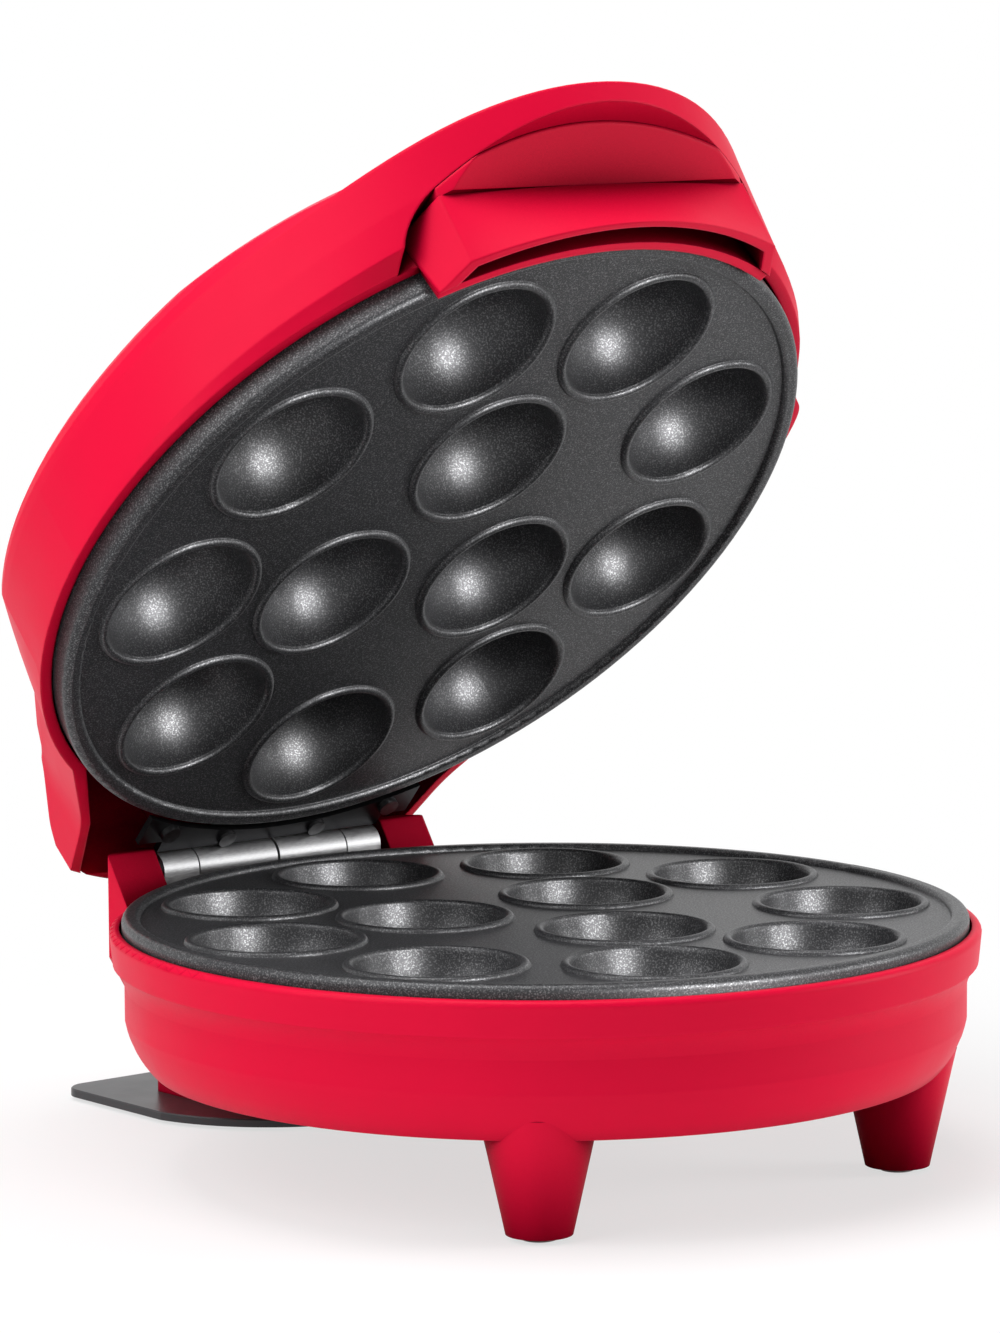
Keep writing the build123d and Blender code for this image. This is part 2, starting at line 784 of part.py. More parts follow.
def dome_level(radius, inset=0.0):
    """Height of the dome's skin at a distance from the lid's axis."""
    return dome_height - inset - radius**2 / (2 * crown_sphere)


def dome_cap(reach, foot, inset):
    """All that lies under the dome's skin, out to a reach and down to a foot."""
    with BuildPart() as cap:
        with BuildSketch(section(bench)):
            with BuildLine():
                Spline(
                    (lid_wall_radius, dome_level(lid_wall_radius, inset)),
                    (crown_radius, dome_level(crown_radius, inset)),
                    (crown_radius / 2, dome_level(crown_radius / 2, inset)),
                    (dome_flat, dome_height - inset),
                )
                # out over the hood the skin falls to a level brim
                Polyline(
                    (dome_flat, dome_height - inset),
                    (0, dome_height - inset),
                    (0, foot),
                    (reach, foot),
                    (reach, hood_top - inset),
                    (lid_wall_radius + hood_shoulder_offset, hood_top - inset),
                    (lid_wall_radius, dome_level(lid_wall_radius, inset)),
                )
            make_face()
        revolve(axis=Axis.Z)
    return cap.part


def lid_plan(level, rise, flare, inset):
    """Plan of the lid at a level; rise and flare, the hood's, run up to 1 at the shoulder."""
    round_wall = lid_rim_radius - rise * lid_draft - inset
    left = [polar(round_wall + flare * step, angle) for angle, step in hood_flare]
    right = [(-x, y) for x, y in reversed(left)]
    nose = (0, -round_wall - flare * hood_overhang)
    flat_start = polar(round_wall, cheek_start)
    flat_middle = polar(lid_rim_radius - rise * cheek_depth - inset, (cheek_start + cheek_end) / 2)
    flat_end = polar(round_wall, cheek_end)
    side = polar(round_wall, cheek_start / 2)
    neck = housing_rear - housing_neck
    with BuildSketch(bench.offset(level)) as plan:
        with BuildLine():
            Spline((-round_wall, 0), *left, nose, *right, (round_wall, 0), tangents=((0, -1), (0, 1)))
            ThreePointArc((round_wall, 0), side, flat_start)
            ThreePointArc(flat_start, flat_middle, flat_end)
            Polyline(
                flat_end,
                (housing_neck_half_width - inset, neck),
                (housing_half_width - inset, housing_rear - inset),
                (inset - housing_half_width, housing_rear - inset),
                (inset - housing_neck_half_width, neck),
                (-flat_end[0], flat_end[1]),
            )
            ThreePointArc(
                (-flat_end[0], flat_end[1]),
                (-flat_middle[0], flat_middle[1]),
                (-flat_start[0], flat_start[1]),
            )
            ThreePointArc((-flat_start[0], flat_start[1]), (-side[0], side[1]), (-round_wall, 0))
        make_face()
        necks = plan.vertices().filter_by(lambda vertex: abs(vertex.Y - neck) < seat)
        # the blend keeps within the walls on both sides of the neck
        shoulder_wall = Vector(housing_neck_half_width - inset, neck) - Vector(*flat_end)
        side_wall = Vector(housing_half_width - housing_neck_half_width, housing_rear - inset - neck)
        room = min(shoulder_wall.length, side_wall.length - housing_corner)
        half_turn = radians(shoulder_wall.get_angle(side_wall) / 2)
        fillet(necks, radius=min(housing_blend, room / tan(half_turn)))
        fillet(plan.vertices().group_by(Axis.Y)[-1], radius=housing_corner)
    return plan.sketch


def housing_room(inset, foot):
    """Space inside the rear housing."""
    shoulder = polar(lid_wall_radius, cheek_end)
    neck = housing_rear - housing_neck
    with BuildPart() as block:
        with BuildSketch(bench.offset(foot)) as plan:
            with BuildLine():
                Polyline(
                    (inset - shoulder[0], shoulder[1] / 2),
                    (inset - shoulder[0], shoulder[1]),
                    (inset - housing_neck_half_width, neck),
                    (inset - housing_half_width, housing_rear - inset),
                    (housing_half_width - inset, housing_rear - inset),
                    (housing_neck_half_width - inset, neck),
                    (shoulder[0] - inset, shoulder[1]),
                    (shoulder[0] - inset, shoulder[1] / 2),
                    close=True,
                )
            make_face()
            fillet(plan.vertices().group_by(Axis.Y)[-1], radius=housing_corner - inset)
        extrude(amount=crown_height - inset - foot)
    return block.part


def roof(inset):
    """All that lies under the rear slope of the lid, drawn in by inset."""
    knee = (hinge_reach + roof_knee_offset - inset, roof_knee_height - inset)
    top = knee[1] + (knee[0] - crown_radius / 2) * roof_slope
    with BuildPart() as under:
        with BuildSketch(section(bench)) as slope:
            with BuildLine():
                Polyline(
                    (-2 * plate_radius, -plate_radius),
                    (housing_rear - inset, -plate_radius),
                    (housing_rear - inset, lid_rim_height + roof_foot - inset / 2),
                    knee,
                    (crown_radius / 2, top),
                    (-2 * plate_radius, top),
                    close=True,
                )
            make_face()
            fillet(slope.vertices().sort_by_distance(knee)[0], radius=roof_knee_round)
        extrude(amount=2 * plate_radius, both=True)
    return under.part


def arch_outline(plane, inset):
    """Front view of the handle recess: a low arch with round shoulders on straight feet."""
    side = arch_half_width - inset
    shoulder = arch_shoulder - inset
    with BuildSketch(plane) as arch:
        with BuildLine():
            Polyline((-side, shoulder), (-side, -arch_drop), (side, -arch_drop), (side, shoulder))
            ThreePointArc((side, shoulder), (0, arch_top - inset), (-side, shoulder))
        make_face()
        fillet(arch.vertices().group_by(Axis.Y)[-1], radius=arch_corner - inset)
    return arch.sketch


with BuildPart() as lid_body:
    add(lid_plan(lid_rim_height, 0, 0, 0))
    for level, share in ((hood_foot, hood_foot_share), (hood_waist, hood_waist_share)):
        add(lid_plan(level, (level - lid_rim_height) / (lid_wall_top - lid_rim_height), share, 0))
    for turn in (0, 20, 40, 60, 80):
        shoulder_level = lid_wall_top + crown_rise * sin(radians(turn))
        crest = lid_plan(shoulder_level, 1, 1, crown_round * (1 - cos(radians(turn))))
        add(crest)
    loft(ruled=True)
    extrude(crest, amount=dome_height - lid_wall_top)
    add(dome_cap(nose_reach + wall, 0, 0), mode=Mode.INTERSECT)
    add(roof(0), mode=Mode.INTERSECT)

with BuildPart() as recess:
    extrude(
        arch_outline(front(bench, -nose_reach - wall), 0),
        amount=-(nose_reach + wall - plate_radius / 2),
    )
    with BuildSketch(bench.offset(-arch_drop)):
        Circle(ring_radius)
    extrude(amount=2 * dome_height, mode=Mode.SUBTRACT)

bracket_screw_spots = [(side * bracket_screw_spread, bracket_screw_reach) for side in (-1, 1)]
bracket_top = bracket_bottom + leaf_thickness
bracket_post_top = 24.0
lamp_spread = 12.0
lamp_setback = 52.0
lamp_spots = [(-lamp_spread, lamp_setback), (lamp_spread, lamp_setback)]
lens_radius = 3.5
lid_post_foot = 8.0
lid_post_bore = 16.0
clip_thickness = 0.9
clip_height = 6.0
clip_slit = 1.2

with BuildPart() as lid_room:
    with Locations((0, 0, pocket_top)):
        Cylinder(room_radius, dome_height, align=FOOT)
    add(dome_cap(nose_reach, pocket_top - 1, wall), mode=Mode.INTERSECT)
    add(housing_room(wall, lid_rim_height - wall))
    add(roof(wall), mode=Mode.INTERSECT)

with BuildPart(lid_frame) as lid_shell:
    add(lid_body.part)
    add(recess.part, mode=Mode.SUBTRACT)
    add(lid_room.part, mode=Mode.SUBTRACT)
    with Locations((0, 0, bead_bottom)):
        Cylinder(plate_radius + plate_play, pocket_top - bead_bottom, align=FOOT, mode=Mode.SUBTRACT)
    # the front of the rim comes down behind the grip
    with BuildSketch(spoke(lid_frame, -90 - bead_half_angle)):
        with Locations((plate_radius + plate_play, bead_bottom)):
            Rectangle(bead_wall, lid_rim_height + wall - bead_bottom, align=(Align.MIN, Align.MIN))
    revolve(axis=lid_axis, revolution_arc=2 * bead_half_angle)
    # posts for the plate and for the hinge bracket
    post_top = dome_level(post_ring - boss_radius, wall) + 0.1
    with post_spots():
        with Locations((0, 0, lid_post_foot)):
            Cylinder(boss_radius, post_top - lid_post_foot, align=FOOT)
    with post_spots():
        with Locations((0, 0, lid_post_foot)):
            Cylinder(
                post_radius + clip_thickness + 2 * seat,
                lid_post_bore,
                align=FOOT,
                mode=Mode.SUBTRACT,
            )
    with Locations(*[(x, y, bracket_top) for x, y in bracket_screw_spots]):
        Cylinder(bracket_post_radius, bracket_post_top - bracket_top, align=FOOT)
        Cylinder(screw_radius, bracket_screw_length + seat, align=FOOT, mode=Mode.SUBTRACT)
    # indicator windows
    with Locations(*[(x, y, dome_height) for x, y in lamp_spots]):
        Cylinder(lens_radius + seat, crown_height / 2, mode=Mode.SUBTRACT)
save("lid_shell", lid_shell)

# ---- Handle grip: a hooked band under the hood, open from below ----
grip_ramp_height = arch_top
grip_ramp_reach = grip_crease + grip_lean
grip_end_reach = sqrt(grip_radius**2 - grip_half_width**2)

with BuildPart() as grip_arch:
    extrude(arch_outline(front(bench, -nose_reach), seat), amount=grip_depth - nose_reach)

with BuildPart() as grip_top:
    with BuildSketch(section(bench)):
        with BuildLine():
            Polyline(
                (-grip_crease, grip_crease_height),
                (-grip_ramp_reach, grip_ramp_height),
                (grip_depth - grip_crease, grip_ramp_height),
                (grip_depth - grip_crease, grip_crease_height),
                close=True,
            )
        make_face()
    extrude(amount=grip_half_width, both=True)
    add(lid_body.part, mode=Mode.INTERSECT)


def grip_band(inset, foot_inset, foot):
    """Band of the grip, straight along the top crease and round along its foot."""
    end_x = grip_half_width - inset
    back_x = end_x + grip_end_splay
    back_y = grip_depth - grip_crease
    with BuildPart() as band:
        with BuildSketch(bench.offset(foot)):
            with BuildLine():
                ThreePointArc(
                    (-end_x, foot_inset - grip_end_reach),
                    (0, foot_inset - grip_radius),
                    (end_x, foot_inset - grip_end_reach),
                )
                Polyline(
                    (end_x, foot_inset - grip_end_reach),
                    (back_x, back_y),
                    (-back_x, back_y),
                    (-end_x, foot_inset - grip_end_reach),
                )
            make_face()
        with BuildSketch(bench.offset(grip_crease_height - inset)):
            crease_y = inset - grip_crease + grip_crease_bow
            with BuildLine():
                ThreePointArc(
                    (-end_x, crease_y),
                    (0, inset - grip_crease),
                    (end_x, crease_y),
                )
                Polyline(
                    (end_x, crease_y),
                    (back_x, back_y),
                    (-back_x, back_y),
                    (-end_x, crease_y),
                )
            make_face()
        loft(ruled=True)
    return band.part


with BuildPart(lid_frame) as grip:
    add(grip_band(0, 0, grip_bottom))
    add(grip_top.part)
    add(grip_arch.part, mode=Mode.INTERSECT)
    Cylinder(ring_radius + seat, plate_radius, mode=Mode.SUBTRACT)
    add(grip_band(grip_wall, grip_lip, grip_bottom - seat), mode=Mode.SUBTRACT)
save("handle_grip", grip)

# ---- Lid hardware ----
tab_reach = 9.25
tab_bottom = bracket_top + thread_play
tab_top = hinge_height + knuckle_radius
rivet_spread = 14.0
rivet_offset = 7.45
rivet_spots = [(side * rivet_spread, hinge_reach - rivet_offset) for side in (-1, 1)]
rivet_head_step = 0.9
rivet_head_height = 0.8

with BuildPart(lid_frame) as bracket:
    with BuildSketch(lid_frame.offset(bracket_bottom)):
        with Locations((0, leaf_front - fit)):
            Rectangle(2 * (horn_inner - 1), bracket_strip, align=(Align.CENTER, Align.MAX))
        with Locations((0, bracket_screw_reach + bracket_ledge)):
            Rectangle(2 * bracket_half_width, bracket_strip, align=(Align.CENTER, Align.MAX))
        Circle(plate_radius + plate_play + fit, mode=Mode.SUBTRACT)
        with Locations(*bracket_screw_spots):
            Circle(screw_radius + seat, mode=Mode.SUBTRACT)
        with Locations(*rivet_spots):
            Circle(screw_radius, mode=Mode.SUBTRACT)
    extrude(amount=leaf_thickness)
save("lid_hinge_bracket", bracket)

with BuildPart(lid_frame) as knuckle:
    with Locations((0, hinge_reach, tab_bottom)):
        Box(
            2 * lid_knuckle_end,
            tab_reach,
            tab_top - tab_bottom,
            align=(Align.CENTER, Align.MAX, Align.MIN),
        )
    with Locations((0, hinge_reach, hinge_height)):
        Cylinder(knuckle_radius, 2 * lid_knuckle_end, rotation=(0, 90, 0))
        Cylinder(pin_radius + pin_play, 3 * lid_knuckle_end, rotation=(0, 90, 0), mode=Mode.SUBTRACT)
    # the rolled strip is slit in the middle of the barrel
    with Locations((slit_middle, hinge_reach, hinge_height)):
        Box(slit_width, 2 * knuckle_radius, 4 * knuckle_radius, mode=Mode.SUBTRACT)
    with Locations(*[(x, y, tab_bottom) for x, y in rivet_spots]):
        Cylinder(screw_radius, 4 * knuckle_radius, mode=Mode.SUBTRACT)
save("lid_hinge_knuckle", knuckle)

with BuildPart(lid_frame) as rivets:
    with Locations(*[(x, y, bracket_bottom) for x, y in rivet_spots]):
        Cylinder(screw_radius - thread_play, tab_top - bracket_bottom, align=FOOT)
        Cylinder(screw_radius + rivet_head_step, rivet_head_height, align=TOP)
    with Locations(*[(x, y, tab_top) for x, y in rivet_spots]):
        Cylinder(screw_radius + rivet_head_step, rivet_head_height, align=FOOT)
save("hinge_rivets", rivets)

with BuildPart(lid_frame) as bracket_screws:
    with Locations(*[(x, y, bracket_bottom) for x, y in bracket_screw_spots]):
        Cylinder(head_radius, head_height - seat, align=TOP)
        Cylinder(screw_radius - thread_play, bracket_screw_length, align=FOOT)
save("lid_bracket_screws", bracket_screws)

with BuildPart(lid_frame) as clips:
    with post_spots():
        with Locations((0, 0, lid_post_foot + fit)):
            Cylinder(post_radius + seat + clip_thickness, clip_height, align=FOOT)
            Cylinder(post_radius + seat, clip_height, align=FOOT, mode=Mode.SUBTRACT)
            Box(
                3 * post_radius,
                clip_slit,
                clip_height,
                align=(Align.MIN, Align.CENTER, Align.MIN),
                mode=Mode.SUBTRACT,
            )
save("upper_plate_clips", clips)

# ---- Indicator lamps under the dome ----
lamp_reach = sqrt(lamp_spots[0][0] ** 2 + lamp_spots[0][1] ** 2)
lens_proud = 0.8
lens_step = 1.0
lens_tail = 1.5
lens_round = 0.6
lens_top = dome_level(lamp_reach) + lens_proud
lens_bottom = dome_level(lamp_reach + lens_radius, wall) - lens_tail
lamp_radius = 2.2
lamp_length = 8.0
with BuildPart(lid_frame) as lenses:
    with Locations(*[(x, y, lens_bottom) for x, y in lamp_spots]):
        Cylinder(lens_radius, lens_top - lens_bottom, align=FOOT)
        Cylinder(lens_radius + lens_step, lens_proud, align=FOOT)
    fillet(lenses.faces().filter_by(GeomType.PLANE).sort_by(lid_axis)[-2:].edges(), radius=lens_round)
save("indicator_lenses", lenses)

with BuildPart(lid_frame) as lamps:
    with Locations(*[(x, y, lens_bottom - fit) for x, y in lamp_spots]):
        Cylinder(lamp_radius, lamp_length, align=TOP)
save("indicator_lamps", lamps)
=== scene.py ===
"""Looks of the cake pop maker: finishes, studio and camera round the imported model."""

from math import cos, radians, sin

import bpy
from mathutils import Matrix, Vector

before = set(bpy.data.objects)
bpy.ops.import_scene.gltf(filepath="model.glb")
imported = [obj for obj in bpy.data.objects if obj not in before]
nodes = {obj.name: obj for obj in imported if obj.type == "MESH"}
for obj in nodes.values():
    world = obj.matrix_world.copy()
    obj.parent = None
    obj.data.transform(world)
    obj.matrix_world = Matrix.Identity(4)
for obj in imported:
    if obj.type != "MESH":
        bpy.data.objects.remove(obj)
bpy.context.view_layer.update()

MM = 0.001

# samples of the edge and hollow tests, and the clear coat's roughness
EDGE_SAMPLES = 6
HOLLOW_SAMPLES = 8
COAT_ROUGHNESS = 0.12
# painted shade in hollows, which darkens the tint: reach, whether only the piece itself counts, and the
# share at which it is darkest
NARROW_HOLLOW = (30 * MM, False, 0.25)
WIDE_HOLLOW = (60 * MM, True, 0.5)
# open share above which no shade is painted, and the darkest painted shade as a factor on the tint
OPEN_SHARE = 0.9
DARKEST_PAINTED_SHADE = 0.15
# colour sockets of a mix node, which share their names with its number and vector sockets
MIX_FIRST = 6
MIX_SECOND = 7
MIX_RESULT = 2


# ---- Finishes ----
class Finish:
    """A Principled material whose colour, roughness and relief come from procedural nodes."""

    def __init__(self, name, roughness, metallic=0.0, specular=0.5):
        self.material = bpy.data.materials.new(name)
        self.material.use_nodes = True
        self.tree = self.material.node_tree
        self.shader = self.tree.nodes["Principled BSDF"]
        self.shader.inputs["Metallic"].default_value = metallic
        self.shader.inputs["Roughness"].default_value = roughness
        self.shader.inputs["Specular IOR Level"].default_value = specular
        self.place = self.add("ShaderNodeTexCoord").outputs["Object"]
        self.height = None

    def add(self, kind, **values):
        node = self.tree.nodes.new(kind)
        for key, value in values.items():
            setattr(node, key, value)
        return node

    def link(self, source, target):
        self.tree.links.new(source, target)

    def noise(self, scale, detail=2.0, stretch=None):
        """Noise value in object space, scale in features per metre."""
        texture = self.add("ShaderNodeTexNoise")
        texture.inputs["Scale"].default_value = scale
        texture.inputs["Detail"].default_value = detail
        place = self.place
        if stretch:
            mapping = self.add("ShaderNodeMapping")
            mapping.inputs["Scale"].default_value = stretch
            self.link(place, mapping.inputs["Vector"])
            place = mapping.outputs["Vector"]
        self.link(place, texture.inputs["Vector"])
        return texture.outputs["Fac"]

    def span(self, value, low, high, start, end):
        """Value mapped from low..high to start..end."""
        node = self.add("ShaderNodeMapRange")
        for socket, number in (("From Min", low), ("From Max", high), ("To Min", start), ("To Max", end)):
            node.inputs[socket].default_value = number
        self.link(value, node.inputs["Value"])
        return node.outputs["Result"]

    def ramp(self, value, *stops):
        """Colour along stops of (position, colour)."""
        node = self.add("ShaderNodeValToRGB")
        elements = node.color_ramp.elements
        while len(elements) < len(stops):
            elements.new(0.5)
        for element, (position, colour) in zip(elements, stops):
            element.position = position
            element.color = (*colour, 1.0)
        self.link(value, node.inputs["Fac"])
        return node.outputs["Color"]

    def colour(self, value):
        self.link(value, self.shader.inputs["Base Color"])

    def roughness(self, value):
        self.link(value, self.shader.inputs["Roughness"])

    def soften(self, radius):
        """Catches the light along edges as if they were rounded to a radius in metres."""
        self.height = self.add("ShaderNodeBevel", samples=EDGE_SAMPLES).outputs["Normal"]
        self.height.node.inputs["Radius"].default_value = radius
        self.link(self.height, self.shader.inputs["Normal"])

    def paint_hollow_shade(self, tint, specular):
        """Painted shade in hollows: the tint darkens and the sheen fades there, for narrow hollows anywhere
        and wide ones within the piece.
        """
        depth = None
        for distance, own, closed in (NARROW_HOLLOW, WIDE_HOLLOW):
            hollow = self.add("ShaderNodeAmbientOcclusion", samples=HOLLOW_SAMPLES, only_local=own)
            hollow.inputs["Distance"].default_value = distance
            open_share = self.span(hollow.outputs["AO"], closed, OPEN_SHARE, DARKEST_PAINTED_SHADE, 1.0)
            if depth:
                both = self.add("ShaderNodeMath", operation="MULTIPLY")
                self.link(depth, both.inputs[0])
                self.link(open_share, both.inputs[1])
                open_share = both.outputs["Value"]
            depth = open_share
        sheen = self.span(depth, 0.3, 1.0, 0.0, specular)
        self.link(sheen, self.shader.inputs["Specular IOR Level"])
        node = self.add("ShaderNodeVectorMath", operation="SCALE")
        self.link(tint, node.inputs[0])
        self.link(depth, node.inputs["Scale"])
        return node.outputs["Vector"]

    def relief(self, value, distance):
        """Bump of value, distance in metres; several reliefs add up."""
        node = self.add("ShaderNodeBump")
        node.inputs["Distance"].default_value = distance
        self.link(value, node.inputs["Height"])
        if self.height:
            self.link(self.height, node.inputs["Normal"])
        self.height = node.outputs["Normal"]
        self.link(self.height, self.shader.inputs["Normal"])


def moulded(name, base, shade, roughness, grain=900.0, depth=0.00002, coat=0.0, specular=0.5, edge=0.0):
    """Moulded plastic: even colour with a faint cloud, a fine skin and rounded edges; where edges are
    rounded, also painted shade in hollows.
    """
    finish = Finish(name, roughness, specular=specular)
    cloud = finish.noise(14.0, 3.0)
    tint = finish.ramp(cloud, (0.35, shade), (0.65, base))
    if edge:
        finish.soften(edge)
        # painted shade: the tint darkens and the sheen fades in hollows
        tint = finish.paint_hollow_shade(tint, specular)
    finish.colour(tint)
    finish.roughness(finish.span(finish.noise(60.0, 4.0), 0.3, 0.7, roughness - 0.03, roughness + 0.04))
    finish.relief(finish.noise(grain, 2.0), depth)
    finish.shader.inputs["Coat Weight"].default_value = coat
    finish.shader.inputs["Coat Roughness"].default_value = COAT_ROUGHNESS
    return finish


def metal(name, base, shade, roughness, stretch=(1.0, 1.0, 1.0), scale=700.0, depth=0.00001):
    """Bare metal with drawn streaks."""
    finish = Finish(name, roughness, metallic=1.0)
    streak = finish.noise(scale, 4.0, stretch)
    finish.colour(finish.ramp(streak, (0.3, shade), (0.7, base)))
    finish.roughness(finish.span(streak, 0.3, 0.7, roughness - 0.06, roughness + 0.08))
    finish.relief(streak, depth)
    return finish


# red plastic, with painted shade in its hollows
red = moulded(
    "red_plastic", (0.77, 0.003, 0.041), (0.73, 0.003, 0.038), 0.42, specular=0.075, edge=0.0009
)

# Dark coating of the plates, with pale flecks
coating = Finish("nonstick_coating", 0.4, metallic=0.3, specular=0.4)
coating.soften(0.0005)
fleck = coating.noise(2600.0, 2.0)
cloud = coating.noise(30.0, 3.0)
dark = coating.ramp(cloud, (0.35, (0.018, 0.018, 0.020)), (0.65, (0.024, 0.024, 0.027)))
pale = coating.ramp(fleck, (0.5, (0.0, 0.0, 0.0)), (0.72, (0.13, 0.13, 0.132)))
speckle = coating.add("ShaderNodeMix", data_type="RGBA", blend_type="ADD")
speckle.inputs["Factor"].default_value = 1.0
coating.link(dark, speckle.inputs[MIX_FIRST])
coating.link(pale, speckle.inputs[MIX_SECOND])
coating.colour(speckle.outputs[MIX_RESULT])
coating.roughness(coating.span(fleck, 0.3, 0.7, 0.44, 0.36))
coating.relief(coating.noise(1500.0, 3.0), 0.00003)

steel = metal("plated_steel", (0.42, 0.42, 0.425), (0.3, 0.3, 0.305), 0.42, (1.0, 6.0, 6.0))
stamped = metal("stamped_steel", (0.32, 0.32, 0.33), (0.22, 0.22, 0.23), 0.42, (1.0, 5.0, 5.0))
# steel coloured near black, used on the lid hinge bracket
near_black = metal("near_black_steel", (0.035, 0.035, 0.037), (0.02, 0.02, 0.022), 0.4, (1.0, 5.0, 5.0))
screw_steel = metal("screw_steel", (0.42, 0.42, 0.43), (0.30, 0.30, 0.31), 0.32)
dark_screw = metal("dark_screw", (0.12, 0.12, 0.122), (0.07, 0.07, 0.072), 0.34)
aluminium = metal("bare_aluminium", (0.72, 0.73, 0.74), (0.60, 0.61, 0.62), 0.38)
sheath = metal("element_sheath", (0.30, 0.29, 0.28), (0.20, 0.19, 0.18), 0.45)
stand_black = moulded("stand_black", (0.035, 0.035, 0.038), (0.028, 0.028, 0.031), 0.34, specular=0.35)
pad_rubber = moulded("pad_rubber", (0.55, 0.54, 0.52), (0.47, 0.46, 0.44), 0.62, grain=2200.0, depth=0.00005)
black_rubber = moulded("black_rubber", (0.02, 0.02, 0.02), (0.028, 0.028, 0.028), 0.55, grain=2000.0)
bakelite = moulded("black_bakelite", (0.03, 0.025, 0.022), (0.04, 0.034, 0.03), 0.35)
ivory = moulded("ivory_nylon", (0.70, 0.66, 0.56), (0.64, 0.60, 0.50), 0.45)
lens_red = moulded("lens_red", (0.75, 0.03, 0.02), (0.65, 0.02, 0.015), 0.12, coat=0.5)
lens_red.shader.inputs["Transmission Weight"].default_value = 0.35
lamp_glass = moulded("lamp_glass", (0.9, 0.6, 0.4), (0.85, 0.5, 0.3), 0.1)
sleeve = moulded("fuse_sleeve", (0.70, 0.70, 0.68), (0.62, 0.62, 0.60), 0.4)

finishes = {
    red: ["base_shell", "lid_shell", "handle_grip", "cord_wrap_stem"],
    coating: ["lower_plate", "upper_plate"],
    steel: ["lid_hinge_knuckle", "base_hinge_leaf", "hinge_pin"],
    stamped: ["thermal_fuse_strap", "upper_plate_clips"],
    near_black: ["lid_hinge_bracket"],
    dark_screw: ["lid_bracket_screws", "hinge_rivets"],
    screw_steel: [
        "base_hinge_screws",
        "lower_plate_screws",
        "cord_wrap_stem_screws",
        "cord_wrap_plate_screws",
    ],
    aluminium: ["lower_reflector", "upper_reflector"],
    sheath: ["lower_heating_element", "upper_heating_element"],
    stand_black: ["cord_wrap_plate"],
    pad_rubber: ["front_foot_pads", "rear_foot_pads"],
    black_rubber: ["cord_inlet_grommet"],
    bakelite: ["lower_thermostat"],
    ivory: ["terminal_block"],
    lens_red: ["indicator_lenses"],
    lamp_glass: ["indicator_lamps"],
    sleeve: ["thermal_fuse"],
}

for finish, names in finishes.items():
    for name in names:
        mesh = nodes[name].data
        mesh.materials.clear()
        mesh.materials.append(finish.material)

# ---- Camera: long lens, low in front of the left side ----
CAMERA_AZIMUTH = radians(-39.58)
CAMERA_ELEVATION = radians(7.30)
CAMERA_ROLL = radians(-0.28)
CAMERA_DISTANCE = 1329.86 * MM
CAMERA_ASIDE = -10.68 * MM
CAMERA_RAISE = 56.95 * MM
PLATE_CENTRE = Vector((0.0, -15.55, 60.5)) * MM
FOCAL_LENGTH = 202.53
SENSOR_WIDTH = 36.0

back = Vector((
    sin(CAMERA_AZIMUTH) * cos(CAMERA_ELEVATION),
    -cos(CAMERA_AZIMUTH) * cos(CAMERA_ELEVATION),
    sin(CAMERA_ELEVATION),
))
level = Vector((0, 0, 1)).cross(back).normalized()
rise = back.cross(level)
across = level * cos(CAMERA_ROLL) + rise * sin(CAMERA_ROLL)
upward = rise * cos(CAMERA_ROLL) - level * sin(CAMERA_ROLL)
camera_place = PLATE_CENTRE + back * CAMERA_DISTANCE + across * CAMERA_ASIDE + upward * CAMERA_RAISE

camera_data = bpy.data.cameras.new("camera")
camera_data.lens = FOCAL_LENGTH
camera_data.sensor_width = SENSOR_WIDTH
camera_data.sensor_fit = "HORIZONTAL"
camera_data.clip_end = 100.0
camera = bpy.data.objects.new("camera", camera_data)
bpy.context.scene.collection.objects.link(camera)
turn = Matrix((across, upward, back)).transposed()
camera.matrix_world = Matrix.Translation(camera_place) @ turn.to_4x4()
bpy.context.scene.camera = camera

# ---- Studio ----
bpy.context.scene.view_settings.view_transform = "Standard"


def softbox(name, place, target, size, power):
    """White rectangular area lamp at place, aimed at target: metres and watts."""
    data = bpy.data.lights.new(name, "AREA")
    data.shape = "RECTANGLE"
    data.size, data.size_y = size
    data.energy = power
    lamp = bpy.data.objects.new(name, data)
    bpy.context.scene.collection.objects.link(lamp)
    lamp.location = place
    aim = Vector(target) - Vector(place)
    lamp.rotation_euler = aim.to_track_quat("-Z", "Y").to_euler()
    return lamp


MIDDLE = (0.0, 0.0, 0.12)
LID_MIDDLE = (0.0, 0.0, 0.2)
softbox("key_left", (-1.25, 0.1, 1.0), MIDDLE, (1.0, 1.2), 14.5)
softbox("top", (-0.2, 0.1, 1.6), MIDDLE, (1.0, 1.0), 21.0)
softbox("low_right", (1.35, -1.0, 0.4), MIDDLE, (0.7, 0.6), 14.0)
# this lamp makes only the gleam on the plates and in their cups
gleam = softbox("gleam", (0.15, -1.7, 0.42), LID_MIDDLE, (0.9, 0.9), 92.0)
gleam.visible_diffuse = False
plates = bpy.data.collections.new("plates")
for name in ("lower_plate", "upper_plate"):
    plates.objects.link(nodes[name])
gleam.light_linking.receiver_collection = plates


def in_view(tree):
    """1 for rays that the camera sees, straight on or by gloss and glass, and 0 for diffuse light."""
    paths = tree.nodes.new("ShaderNodeLightPath")
    value = paths.outputs["Is Camera Ray"]
    for kind in ("Is Glossy Ray", "Is Transmission Ray"):
        either = tree.nodes.new("ShaderNodeMath")
        either.operation = "MAXIMUM"
        tree.links.new(value, either.inputs[0])
        tree.links.new(paths.outputs[kind], either.inputs[1])
        value = either.outputs["Value"]
    return value


AMBIENT_LIGHT = 0.12

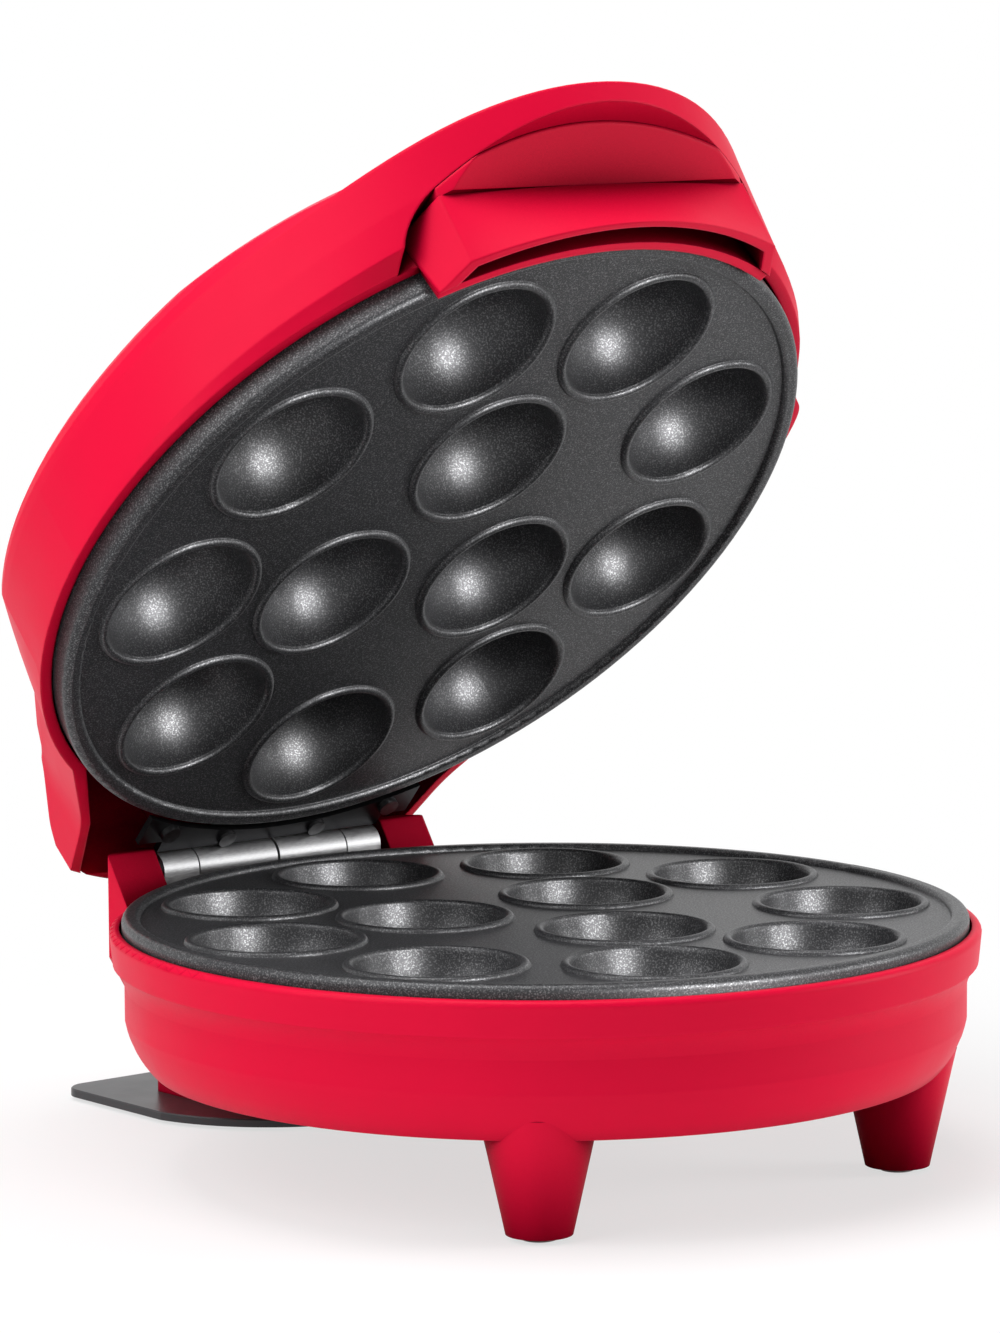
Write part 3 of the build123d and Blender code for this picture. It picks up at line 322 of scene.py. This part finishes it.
world = bpy.data.worlds.new("studio")
bpy.context.scene.world = world
world.use_nodes = True
sky = world.node_tree
background = sky.nodes["Background"]
background.inputs["Color"].default_value = (1.0, 1.0, 1.0, 1.0)
ambient = sky.nodes.new("ShaderNodeMapRange")
ambient.inputs["To Min"].default_value = AMBIENT_LIGHT
ambient.inputs["To Max"].default_value = 1.0
sky.links.new(in_view(sky), ambient.inputs["Value"])
sky.links.new(ambient.outputs["Result"], background.inputs["Strength"])

# ---- Floor: pale paper that takes the shadow, melting into the white background ----
FLOOR_SIZE = 60.0
GLOW_START = 0.1
GLOW_END = 0.3
GLOW_SHARE_NEAR = 0.66
bpy.ops.mesh.primitive_grid_add(size=FLOOR_SIZE, x_subdivisions=8, y_subdivisions=8)
floor = bpy.context.object
floor.name = "floor"
paper = bpy.data.materials.new("paper")
paper.use_nodes = True
tree = paper.node_tree
sheet = tree.nodes["Principled BSDF"]
sheet.inputs["Base Color"].default_value = (0.86, 0.86, 0.865, 1.0)
sheet.inputs["Roughness"].default_value = 0.75
sheet.inputs["Specular IOR Level"].default_value = 0.2
glow = tree.nodes.new("ShaderNodeEmission")
glow.inputs["Strength"].default_value = 1.0
where = tree.nodes.new("ShaderNodeTexCoord")
reach = tree.nodes.new("ShaderNodeVectorMath")
reach.operation = "LENGTH"
fade = tree.nodes.new("ShaderNodeMapRange")
fade.interpolation_type = "SMOOTHSTEP"
fade.inputs["From Min"].default_value = GLOW_START
fade.inputs["From Max"].default_value = GLOW_END
fade.inputs["To Min"].default_value = GLOW_SHARE_NEAR
both = tree.nodes.new("ShaderNodeMath")
both.operation = "MULTIPLY"
blend = tree.nodes.new("ShaderNodeMixShader")
tree.links.new(where.outputs["Object"], reach.inputs[0])
tree.links.new(reach.outputs["Value"], fade.inputs["Value"])
tree.links.new(fade.outputs["Result"], both.inputs[0])
tree.links.new(in_view(tree), both.inputs[1])
tree.links.new(both.outputs["Value"], blend.inputs["Fac"])
tree.links.new(sheet.outputs["BSDF"], blend.inputs[1])
tree.links.new(glow.outputs["Emission"], blend.inputs[2])
tree.links.new(blend.outputs["Shader"], tree.nodes["Material Output"].inputs["Surface"])
floor.data.materials.append(paper)
